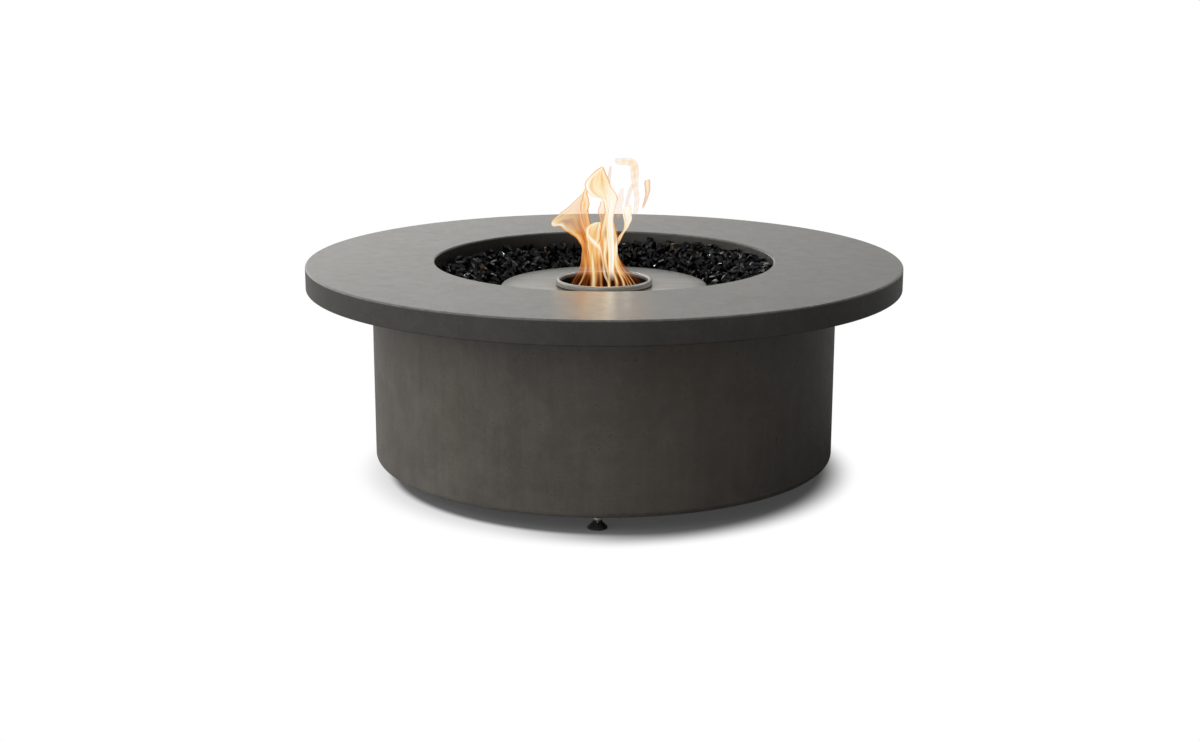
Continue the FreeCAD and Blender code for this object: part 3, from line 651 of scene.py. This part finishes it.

# ---- the flame, light and no part of the table, which rides with the burner
# rows go from root to tip: left edge x and height, right edge x and height in millimetres; depth is y at root and
# tip in metres, thickness a share of the width, rim the cover along the edges, fade the shares that fade in and
# out, and tatter how torn it is
flameTongues = {
    "wing": {
        "rows": ((-38, 376, -16, 380), (-41, 387, -18, 397), (-45, 394, -22, 416), (-52, 400, -26, 436),
                 (-59, 404, -27, 458), (-65, 408, -31, 482), (-70, 412, -41, 470), (-75, 416, -52, 458),
                 (-81, 416, -66, 446), (-87, 415, -80, 435), (-91, 417, -91, 425)),
        "depth": (0.002, 0.02), "thickness": 0.2, "heat": (0.36, 0.5, 0.64, 0.66, 0.7),
        "cover": (0.78, 0.74, 0.46, 0.36, 0.44, 0.8), "rim": 0.9,
    },
    "veil": {
        "rows": ((-40, 440, -30, 441), (-40, 458, -25, 458), (-36, 474, -29, 474), (-32, 487, -28, 488)),
        "depth": (0.006, 0.002), "thickness": 0.3, "heat": (0.62, 0.8), "cover": (0.45, 0.75), "rim": 0.85,
    },
    "column": {
        "rows": ((-14, 380, 22, 382), (-8, 396, 23, 396), (-5, 411, 20, 410), (-1, 433, 16, 432), (1, 447, 17, 446),
                 (-1, 459, 21, 459), (-7, 468, 23, 467), (-18, 471, 20, 474), (-27, 478, 16, 482),
                 (-32, 487, 12, 489), (-31, 496, 9, 497), (-26, 505, 5, 506), (-17, 514, 1, 514), (-4, 523, -2, 523)),
        "depth": (0.0, -0.012), "thickness": 0.55, "heat": (0.46, 0.7, 0.84, 0.84, 0.74, 0.7),
        "cover": (0.12, 0.5, 0.85, 0.85, 0.85), "rim": 0.93,
    },
    "core": {
        "rows": ((9, 330, 17, 330), (8, 344, 17, 345), (7, 362, 18, 363), (6, 385, 19, 386), (3, 410, 17, 410),
                 (3, 435, 15, 435), (5, 455, 20, 456), (4, 470, 22, 470), (-2, 482, 16, 486), (-8, 494, 10, 497)),
        "depth": (-0.04, -0.014), "thickness": 0.5, "heat": (0.84, 0.97), "cover": (0.75, 0.8), "rim": 0.8,
        "fade": (0.2, 0.4),
    },
    "front": {
        "rows": ((-20, 352, -9, 352), (-25, 368, -10, 368), (-29, 386, -10, 386), (-31, 400, -8, 400),
                 (-31, 413, -5, 414), (-27, 424, -4, 426), (-17, 429, -6, 431)),
        "depth": (-0.022, -0.026), "thickness": 0.45, "heat": (0.5, 0.76), "cover": (0.55, 0.85), "rim": 0.97,
        "fade": (0.4, 0.05),
    },
    "lace": {
        "rows": ((8, 324, 11, 324), (-1, 343, 3, 344), (-4, 367, -1, 369), (-9, 384, -5, 389), (-19, 393, -12, 399),
                 (-28, 405, -23, 410), (-32, 418, -27, 420), (-31, 427, -28, 429)),
        "depth": (-0.044, -0.036), "thickness": 0.5, "heat": (0.9, 0.96, 0.96), "cover": (0.8, 0.8), "rim": 0.3,
        "fade": (0.05, 0.3),
    },
    "right": {
        "rows": ((17, 378, 24, 384), (24, 398, 33, 404), (33, 412, 42, 416), (33, 428, 47, 428),
                 (32, 441, 47, 442), (36, 449, 46, 450), (40, 451, 44, 452)),
        "depth": (0.004, 0.022), "thickness": 0.6, "heat": (0.48, 0.8, 1.0, 1.0), "cover": (0.8, 0.9), "rim": 0.9,
    },
    "back": {
        "rows": ((-6, 372, 14, 372), (-9, 396, 15, 398), (-7, 420, 12, 424), (-10, 440, 9, 446), (-6, 456, 6, 458)),
        "depth": (0.014, 0.04), "thickness": 0.8, "heat": (0.5, 0.62), "cover": (0.45, 0.18), "rim": 0.45,
    },
    "wisp": {
        "rows": ((48, 424, 51, 424), (50, 440, 57, 441), (52, 456, 60, 457), (51, 470, 60, 470), (48, 484, 59, 484),
                 (46, 497, 58, 498), (45, 509, 59, 511), (43, 518, 57, 526), (35, 520, 42, 532), (25, 520, 28, 531),
                 (16, 526, 18, 531)),
        "depth": (0.02, 0.034), "thickness": 0.5, "heat": (0.56, 0.54, 0.6, 0.6, 0.54),
        "cover": (0.4, 0.36, 0.54, 0.72, 0.58, 0.48), "rim": 0.18, "tatter": 0.7,
    },
    "mist": {
        "rows": ((20, 424, 29, 424), (20, 440, 31, 441), (22, 454, 33, 456), (25, 466, 34, 470), (29, 476, 33, 478)),
        "depth": (0.045, 0.055), "thickness": 0.3, "heat": (0.52, 0.52),
        "cover": (0.24, 0.26), "rim": 0.14, "tatter": 0.5,
    },
    "branch": {
        "rows": ((36, 438, 41, 438), (36, 451, 42, 452), (38, 464, 44, 464), (42, 476, 48, 475), (47, 488, 52, 485)),
        "depth": (0.03, 0.034), "thickness": 0.4, "heat": (0.56, 0.56),
        "cover": (0.46, 0.44), "rim": 0.2, "tatter": 0.5,
    },
    "shred": {
        "rows": ((6, 492, 10, 489), (6, 503, 11, 503), (8, 513, 12, 513), (10, 521, 12, 521)),
        "depth": (0.01, 0.012), "thickness": 0.5, "heat": (0.5, 0.5), "cover": (0.22, 0.18), "rim": 0.22,
    },
    "spark": {
        "rows": ((64, 444, 66, 443), (68, 456, 72, 455), (70, 468, 77, 469), (70, 480, 79, 481), (69, 489, 79, 491),
                 (70, 494, 77, 496)),
        "depth": (0.03, 0.03), "thickness": 0.5, "heat": (0.6, 0.56), "cover": (0.55, 0.4), "rim": 0.48,
    },
}
flameSheet = {
    "grid": (90, 64),  # rows along a tongue and points round it
    "wander": (0.0007, 0.6),  # how far the edges wander, and the share of the fine waves in it
    "edgeWaves": ((13.0, 17.0), (2.0, 5.0), (31.0, 27.0)),  # left and right: wide waves, their start, fine waves
    "calm": (0.022, 0.2),  # a sheet narrower than this has calmer edges, down to this share
    "sway": (0.0025, 9.0, 2.0, 0.3),  # in depth: how far, waves along and round, and where it is full
    "fade": (0.14, 0.05),
    "tip": -0.02,  # below 0, so that the last row keeps a little of its cover
    "torn": ((21.0, 4.0, 0.0), (37.0, -3.0, 1.0)),  # two waves: along, across and start
    "rimWidth": 0.0032,
    "hotLine": (0.0042, 0.0024, 0.17),  # distance from the edge, width and heat added
    "outline": (0.0013, 0.26),  # width and heat taken away along the very edge
}
flameFoot = {
    "rows": ((2, 61, 320), (1, 56, 326), (-1, 46, 338), (-5, 36, 352), (-8, 31, 368), (-8, 30, 382), (-9, 31, 396),
             (-10, 34, 412)),  # centre x, radius and height in millimetres, from the ring to above the waist
    "grid": (110, 480),  # rows up the foot and points round it
    "flat": 0.85,  # how deep the ring of strands is for its width
    "wobble": ((3, 4, 0, 0.04), (5, -7, 1, 0.02)),  # of the radius: count, rise, start and share
    "hem": (4, 1.0, 0.002, 0.2),  # waves in height: count, start, size and where they are full
    "crown": (3, 0.006),  # and towards the top: count and size
    # strands in front: angle in degrees, half width, strength at the foot and at the waist, and lean
    "strands": ((190, 0.045, 0.4, 0.25, 0.0), (201, 0.03, 0.3, 0.2, 0.06), (218, 0.05, 0.72, 0.16, 0.16),
                (236, 0.025, 0.2, 0.14, 0.12), (251, 0.075, 1.0, 0.8, -0.06), (264, 0.04, 0.5, 0.6, 0.06),
                (275, 0.05, 1.0, 1.0, 0.37), (286, 0.06, 1.0, 1.0, 0.66), (300, 0.055, 0.9, 0.6, 0.78),
                (312, 0.035, 0.5, 0.5, 0.64), (323, 0.042, 0.62, 0.4, 0.46), (336, 0.038, 0.55, 0.35, 0.3)),
    # strands behind: number, first and last angle, its scatter, then the ranges of the other four
    "behind": (12, (12, 168), 5, (0.03, 0.07), (0.02, 0.14), (0.2, 0.5), 0.06),
    "strandSway": (0.035, 6.0, 6.28),  # how far a strand sways, waves along it and about a full turn to start in
    "strandWidth": (0.62, 2.2),  # in half widths: at the foot, and what the way up adds
    "waist": (0.1, 0.75), "footGlow": (0.03, 0.16, 0.25, 0.0), "strandLimit": 1.15,
    "veil": (0.15, 0.6, 0.22, 0.75),  # cover between the strands, by height, and by how far in front
    "veilFront": (-0.15, 0.1, 0.25, 1.0), "strandCover": 0.6, "fullCover": 0.96,
    "fade": (0.03, 0.22), "heat": (0.16, 0.6, 0.1, 0.42),
    "strandHeat": (0.86, 0.8),  # a strand's heat, and the power that sharpens it
    "seed": 5,
}
burningGas = {
    "flow": (13.0, 1.7, 1.0),  # streaks across and along a sheet
    "streaks": (1.0, 3.0, 0.5, 0.6), "streakHeat": (-0.18, 0.14),
    "streakCover": (0.62, 1.15), "fullCover": 0.97,
    "mirrored": 2.3,  # brighter in what mirrors it
    "tones": ((0.0, (0.06, 0.012, 0.004)), (0.15, (0.17, 0.04, 0.012)), (0.3, (0.55, 0.135, 0.026)),
              (0.45, (0.8, 0.29, 0.06)), (0.6, (0.93, 0.5, 0.165)), (0.75, (0.97, 0.69, 0.35)),
              (0.88, (0.99, 0.87, 0.61)), (1.0, (1.0, 0.98, 0.91))),
}


def smoothRows(rows, count):
    # a Catmull-Rom curve through the rows, read at even steps: each span is a cubic of its four nearest rows
    rows = np.array(rows, float)
    step = np.linspace(0, len(rows) - 1, count)
    first = np.minimum(step.astype(int), len(rows) - 2)
    f = (step - first)[:, None]
    before, after = np.maximum(first - 1, 0), np.minimum(first + 2, len(rows) - 1)
    p0, p1, p2, p3 = rows[before], rows[first], rows[first + 1], rows[after]
    bend, twist = 2 * p0 - 5 * p1 + 4 * p2 - p3, 3 * p1 - p0 - 3 * p2 + p3
    return 0.5 * (2 * p1 + (p2 - p0) * f + bend * f ** 2 + twist * f ** 3)


def along01(values, v):
    # values at even steps from root to tip, read at v
    return np.interp(v, np.linspace(0, 1, len(values)), values)


def flameTongue(shape, sheet):
    # a flattened tube: across from left edge to right edge as half a cosine, and to the front and back as a sine
    along, around = sheet["grid"]
    turn = fullTurn(around)
    v = np.linspace(0, 1, along)[:, None]
    rows = smoothRows(shape["rows"], along) / 1000
    narrow = np.linalg.norm(rows[:, 2:] - rows[:, :2], axis=-1)[:, None]
    far, fineShare = sheet["wander"]
    calmWidth, calmest = sheet["calm"]
    wide, start, fine = (np.array([left, 0, right, 0]) for left, right in sheet["edgeWaves"])
    wander = np.sin(wide * v + start) + fineShare * np.sin(fine * v)
    rows = rows + far * wander * np.clip(narrow / calmWidth, calmest, 1)
    left, right = rows[:, None, :2], rows[:, None, 2:]
    flat = left + (right - left) * ((1 - np.cos(turn)) / 2)[None, :, None]
    width = np.linalg.norm(right - left, axis=-1)
    size, rise, waves, full = sheet["sway"]
    sway = size * np.sin(rise * v + waves * turn) * smoothStep(v, 0, full)
    atRoot, atTip = shape["depth"]
    depth = atRoot + (atTip - atRoot) * v - shape["thickness"] * width / 2 * np.sin(turn) + sway
    points = np.stack([flat[..., 0], depth, flat[..., 1]], -1)

    apart = (1 - np.abs(np.cos(turn))) / 2 * width  # distance from the nearer edge
    root, tip = shape.get("fade", sheet["fade"])
    ends = smoothStep(v, 0.0, root) * smoothStep(1 - v, sheet["tip"], tip)
    first, second = (np.sin(rise * v + slant * np.cos(turn) + start) for rise, slant, start in sheet["torn"])
    whole = 1 - shape.get("tatter", 0) * (0.5 + 0.5 * first * second)
    cover = along01(shape["cover"], v)
    cover = (cover + (shape["rim"] - cover) * np.exp(-(apart / sheet["rimWidth"]) ** 2)) * ends * whole
    (place, thin, hotter), (edge, cooler) = sheet["hotLine"], sheet["outline"]
    heat = along01(shape["heat"], v) + hotter * np.exp(-((apart - place) / thin) ** 2)
    heat = np.clip(heat - cooler * np.exp(-(apart / edge) ** 2), 0, 1)
    return points.reshape(-1, 3), ringFaces(along, around), cover.ravel(), heat.ravel(), turn, v


def flameStrands(shape, chance):
    # those in front as given, then those behind, drawn at random
    count, ends, scatter, width, foot, waist, lean = shape["behind"]
    angle = np.linspace(*ends, count) + chance.uniform(-scatter, scatter, count)
    behind = [angle, *(chance.uniform(*span, count) for span in (width, foot, waist)), chance.normal(0, lean, count)]
    return np.concatenate([np.array(shape["strands"]).T, behind], -1)


def flameRoot(shape):
    # a ring of bright strands that leans in to the waist: each is a narrow bell in angle
    chance = np.random.default_rng(shape["seed"])
    along, around = shape["grid"]
    turn = fullTurn(around)
    v = np.linspace(0, 1, along)[:, None]
    rows = smoothRows(shape["rows"], along) / 1000
    radius = rows[:, 1:2] * (1 + sum(
        share * np.sin(count * turn + rise * v + start) for count, rise, start, share in shape["wobble"]))
    (count, start, size, full), (peaks, high) = shape["hem"], shape["crown"]
    hem = size * np.sin(count * turn + start) * smoothStep(v, 0, full)
    height = rows[:, 2:3] + hem + high * np.sin(peaks * turn) * v
    points = fromPolar(radius, turn, height) * (1, shape["flat"], 1)
    points[..., 0] += rows[:, 0:1]

    middle, thin, foot, waist, lean = flameStrands(shape, chance)
    far, waves, start = shape["strandSway"]
    begin = chance.uniform(0, start, len(middle))
    centre = np.radians(middle) + lean * v + far * np.sin(waves * v + begin) * v  # (along, strands)
    apart = (turn[:, None] - centre[:, None, :] + pi) % (2 * pi) - pi
    atFoot, added = shape["strandWidth"]
    spread = (thin * (atFoot + added * v))[:, None, :]
    power = smoothStep(v, *shape["waist"], foot, waist) + foot * smoothStep(v, *shape["footGlow"])
    strand = (power[:, None, :] * np.exp(-(apart / spread) ** 2)).sum(-1)
    strand = np.clip(strand, 0, shape["strandLimit"])
    veil = smoothStep(v, *shape["veil"]) * smoothStep(-np.sin(turn), *shape["veilFront"])
    fadeIn, fadeOut = shape["fade"]
    cover = np.clip(veil + shape["strandCover"] * strand, 0, shape["fullCover"])
    cover = cover * smoothStep(v, 0.0, fadeIn) * smoothStep(1 - v, 0.0, fadeOut)
    base = smoothStep(v, *shape["heat"])
    hottest, sharp = shape["strandHeat"]
    heat = np.clip(base + (hottest - base) * np.clip(strand, 0, 1) ** sharp, 0, 1)
    return points.reshape(-1, 3), ringFaces(along, around), cover.ravel(), heat.ravel(), turn, v


def flameFinish(name, look):
    # burning gas: light of its own over what stands behind it, hot parts pale and thin parts orange
    finish = emptyFinish(name)
    finish.cycles.emission_sampling = "NONE"
    flow = addNode("UVMap", uv_map="flow")[0]
    flow = addNode("Mapping", {"Vector": flow, "Scale": look["flow"]})[0]
    streak = addNoise(flow, *look["streaks"])
    heat = addNode("Attribute", attribute_name="glow")["Fac"]
    heat = addMath("ADD", heat, addLevels(streak, look["streakHeat"], False))
    cover = addNode("Attribute", attribute_name="cover")["Fac"]
    cover = addProduct(cover, addLevels(streak, look["streakCover"], False))
    cover = addNode("Clamp", {0: cover, 1: 0.0, 2: look["fullCover"]})[0]
    ramp = addNode("ValToRGB", {0: heat})
    stops = ramp[0].node.color_ramp.elements
    stops[0].position, stops[1].position = look["tones"][0][0], look["tones"][-1][0]
    for position, tone in look["tones"][1:-1]:
        stops.new(position)
    for stop, (position, tone) in zip(stops, look["tones"]):
        stop.color = (*tone, 1)
    glossy = addNode("LightPath")["Is Glossy Ray"]
    power = addBlend(glossy, 1.0, look["mirrored"])
    glow = addNode("Emission", {"Color": ramp[0], "Strength": power})[0]
    clear = addNode("BsdfTransparent")[0]
    addNode("OutputMaterial", {"Surface": addNode("MixShader", {0: cover, 1: clear, 2: glow})[0]})
    return finish


def makeFlame():
    finish = flameFinish("burningGas", burningGas)
    parts = {"foot": flameRoot(flameFoot)}
    parts.update({name: flameTongue(shape, flameSheet) for name, shape in flameTongues.items()})
    for name, (points, faces, cover, heat, turn, v) in parts.items():
        piece = makePiece("flame_" + name, points, faces, finish)
        for label, values in (("cover", cover), ("glow", heat)):
            values = values.astype(np.float32)
            piece.data.attributes.new(label, "FLOAT", "POINT").data.foreach_set("value", values)
        # the streaks' coordinates: the cosine of half the turn, and the share of the length
        flow = np.stack(np.broadcast_arrays(np.abs(np.cos(turn / 2)), v), -1).reshape(-1, 2)
        corner = np.empty(len(piece.data.loops), np.int32)
        piece.data.loops.foreach_get("vertex_index", corner)
        layer = piece.data.uv_layers.new(name="flow")
        layer.data.foreach_set("uv", flow[corner].astype(np.float32).ravel())
        piece.visible_shadow = False
        piece.visible_diffuse = False
        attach(piece, "burner")
    print("flame lit:", len(parts), "sheets")


makeFlame()

# ---- floor, world and lamps: a white room with its light mostly on the left
studio = {
    "floorSize": 40.0, "floorHeight": -0.0004, "floorColour": 0.36,
    "shadeCentre": (0.018, -0.014, 0.0),  # of the painted shadow under the base, which fades to white
    "shadeSeen": 0.13, "shadeGlow": 0.05,
    "shadeEdge": (0.377, 0.397),  # a crisp edge, strongest on the left
    "edgeShare": (-0.2, 0.14, 0.66, 0.0),
    "fadeStart": (0.02, 0.42, 0.383, 0.349),  # and a slow fade, which starts and ends sooner on the right
    "fadeEnd": (0.02, 0.42, 0.458, 0.428),
    "mirrorTone": (-0.9, 0.9, 0.23, 0.13),  # the floor's tone in reflections, from left to right
    "mirrorFade": (4.0, 7.0),  # and where it turns plain white
    "roomLight": (-0.9, 0.45, 2.5, 0.02),  # by direction, from left to right
    "backGloss": (-0.35, 0.35, 1.27, 0.5),  # and the same in reflections
    "overhead": (0.28, 0.58), "topGloss": 0.3, "glossTone": (1.0, 0.985, 0.955),
}


def addRays():
    # 1 for rays from the camera, and 1 for rays off a mirror or through glass
    rays = addNode("LightPath")
    return rays["Is Camera Ray"], addMath("MAXIMUM", rays["Is Glossy Ray"], rays["Is Transmission Ray"])


def makeFloor(look):
    size, level = look["floorSize"], look["floorHeight"]
    corner = size * np.array([[-1, -1, 0], [1, -1, 0], [1, 1, 0], [-1, 1, 0]]) + (0, 0, level)
    paint = emptyFinish("floorPaint")
    seen, mirror = addRays()
    place = addNode("TexCoord")["Object"]
    across = addNode("SeparateXYZ", {0: place})[0]
    shade = addBlend(mirror, look["floorColour"], addRange(across, *look["mirrorTone"]))
    shade = addBlend(seen, shade, look["shadeSeen"])
    shade = addNode("CombineColor", {0: shade, 1: shade, 2: shade})[0]
    lit = addNode("BsdfDiffuse", {"Color": shade})[0]
    faint = addNode("Emission", {"Strength": addProduct(seen, look["shadeGlow"])})[0]
    lit = addNode("AddShader", {0: lit, 1: faint})[0]
    white = addNode("Emission", {"Strength": 1.0})[0]
    # painted shadow: seen by the camera, the floor is darker round the base, over the real shadow, and fades to plain
    # white
    centre = addDistance(place, look["shadeCentre"])
    fadeStart, fadeEnd = (addRange(across, *look[key], False) for key in ("fadeStart", "fadeEnd"))
    fade, edge = addRange(centre, fadeStart, fadeEnd), addRange(centre, *look["shadeEdge"])
    far = addProduct(addBlend(addRange(across, *look["edgeShare"]), fade, edge), seen)
    farMirror = addProduct(addRange(addCylinder(place)[0], *look["mirrorFade"]), mirror)
    far = addMath("MAXIMUM", far, farMirror)
    top = addNode("MixShader", {0: far, 1: lit, 2: white})[0]
    below = addNode("NewGeometry")["Backfacing"]
    clear = addNode("BsdfTransparent")[0]
    both = addNode("MixShader", {0: below, 1: top, 2: clear})[0]
    addNode("OutputMaterial", {"Surface": both})
    floor = makePiece("floor", corner, np.array([[0, 1, 2, 3]]), paint, smooth=False)


def makeWorld(look):
    world = bpy.data.worlds.new("whiteRoom")
    scene.world = world
    startTree(world).nodes.clear()
    seen, mirror = addRays()
    way = addNode("SeparateXYZ", {0: addNode("TexCoord")["Generated"]})
    back = addRange(way[0], *look["backGloss"])
    gloss = addBlend(addRange(way[2], *look["overhead"]), back, look["topGloss"])
    level = addBlend(mirror, addRange(way[0], *look["roomLight"]), gloss)
    level = addBlend(seen, level, 1.0)
    tone = addMix(mirror, (1, 1, 1), look["glossTone"])
    light = addNode("Background", {"Color": tone, "Strength": level})
    addNode("OutputWorld", {"Surface": light[0]})


# the lamps: place, target, width and height, power, colour, and whether mirrors show it
windows = {
    "leftWindow": ((-3.0, -0.6, 1.1), (0, 0, 0.2), (1.8, 1.4), 22, (1, 1, 1), False),
    "backWindow": ((2.4, 2.6, 1.0), (0.1, 0, 0.2), (2.2, 1.4), 22, (1, 1, 1), False),  # for the sides that face back
    "glassSparkA": ((-0.9, 1.6, 2.1), (0.1, 0.1, 0.33), (0.16, 0.16), 3, (0.82, 0.9, 1.0), True),
    "glassSparkB": ((1.2, 1.1, 1.9), (0.1, 0.1, 0.33), (0.14, 0.14), 3, (0.82, 0.9, 1.0), True),
}
mouthGlow = {  # the flame's light on what lies below it
    "place": (-0.004, 0.0, 0.43), "power": 0.6, "colour": (1.0, 0.42, 0.13),
    "size": 0.02, "cone": 62.0, "blend": 0.25,
}


def addLamp(name, kind, place, power, colour, **settings):
    # a lamp that points down and that the camera doesn't see
    lamp = bpy.data.lights.new(name, kind)
    lamp.energy = power
    lamp.color = colour
    for key, value in settings.items():
        setattr(lamp, key, value)
    holder = bpy.data.objects.new(name, lamp)
    holder.matrix_world = Matrix.Translation(place)
    holder.visible_camera = False
    scene.collection.objects.link(holder)
    return holder


makeFloor(studio)
makeWorld(studio)
for name, (place, target, (width, height), power, colour, mirrored) in windows.items():
    holder = addLamp(name, "AREA", place, power, colour, shape="RECTANGLE", size=width, size_y=height)
    toward = Vector(target) - Vector(place)
    holder.matrix_world = Matrix.Translation(place) @ toward.to_track_quat("-Z", "Y").to_matrix().to_4x4()
    holder.visible_glossy = mirrored
addLamp("mouthGlow", "SPOT", mouthGlow["place"], mouthGlow["power"], mouthGlow["colour"], spot_blend=mouthGlow["blend"],
        shadow_soft_size=mouthGlow["size"], spot_size=radians(mouthGlow["cone"]))
print("studio lit")
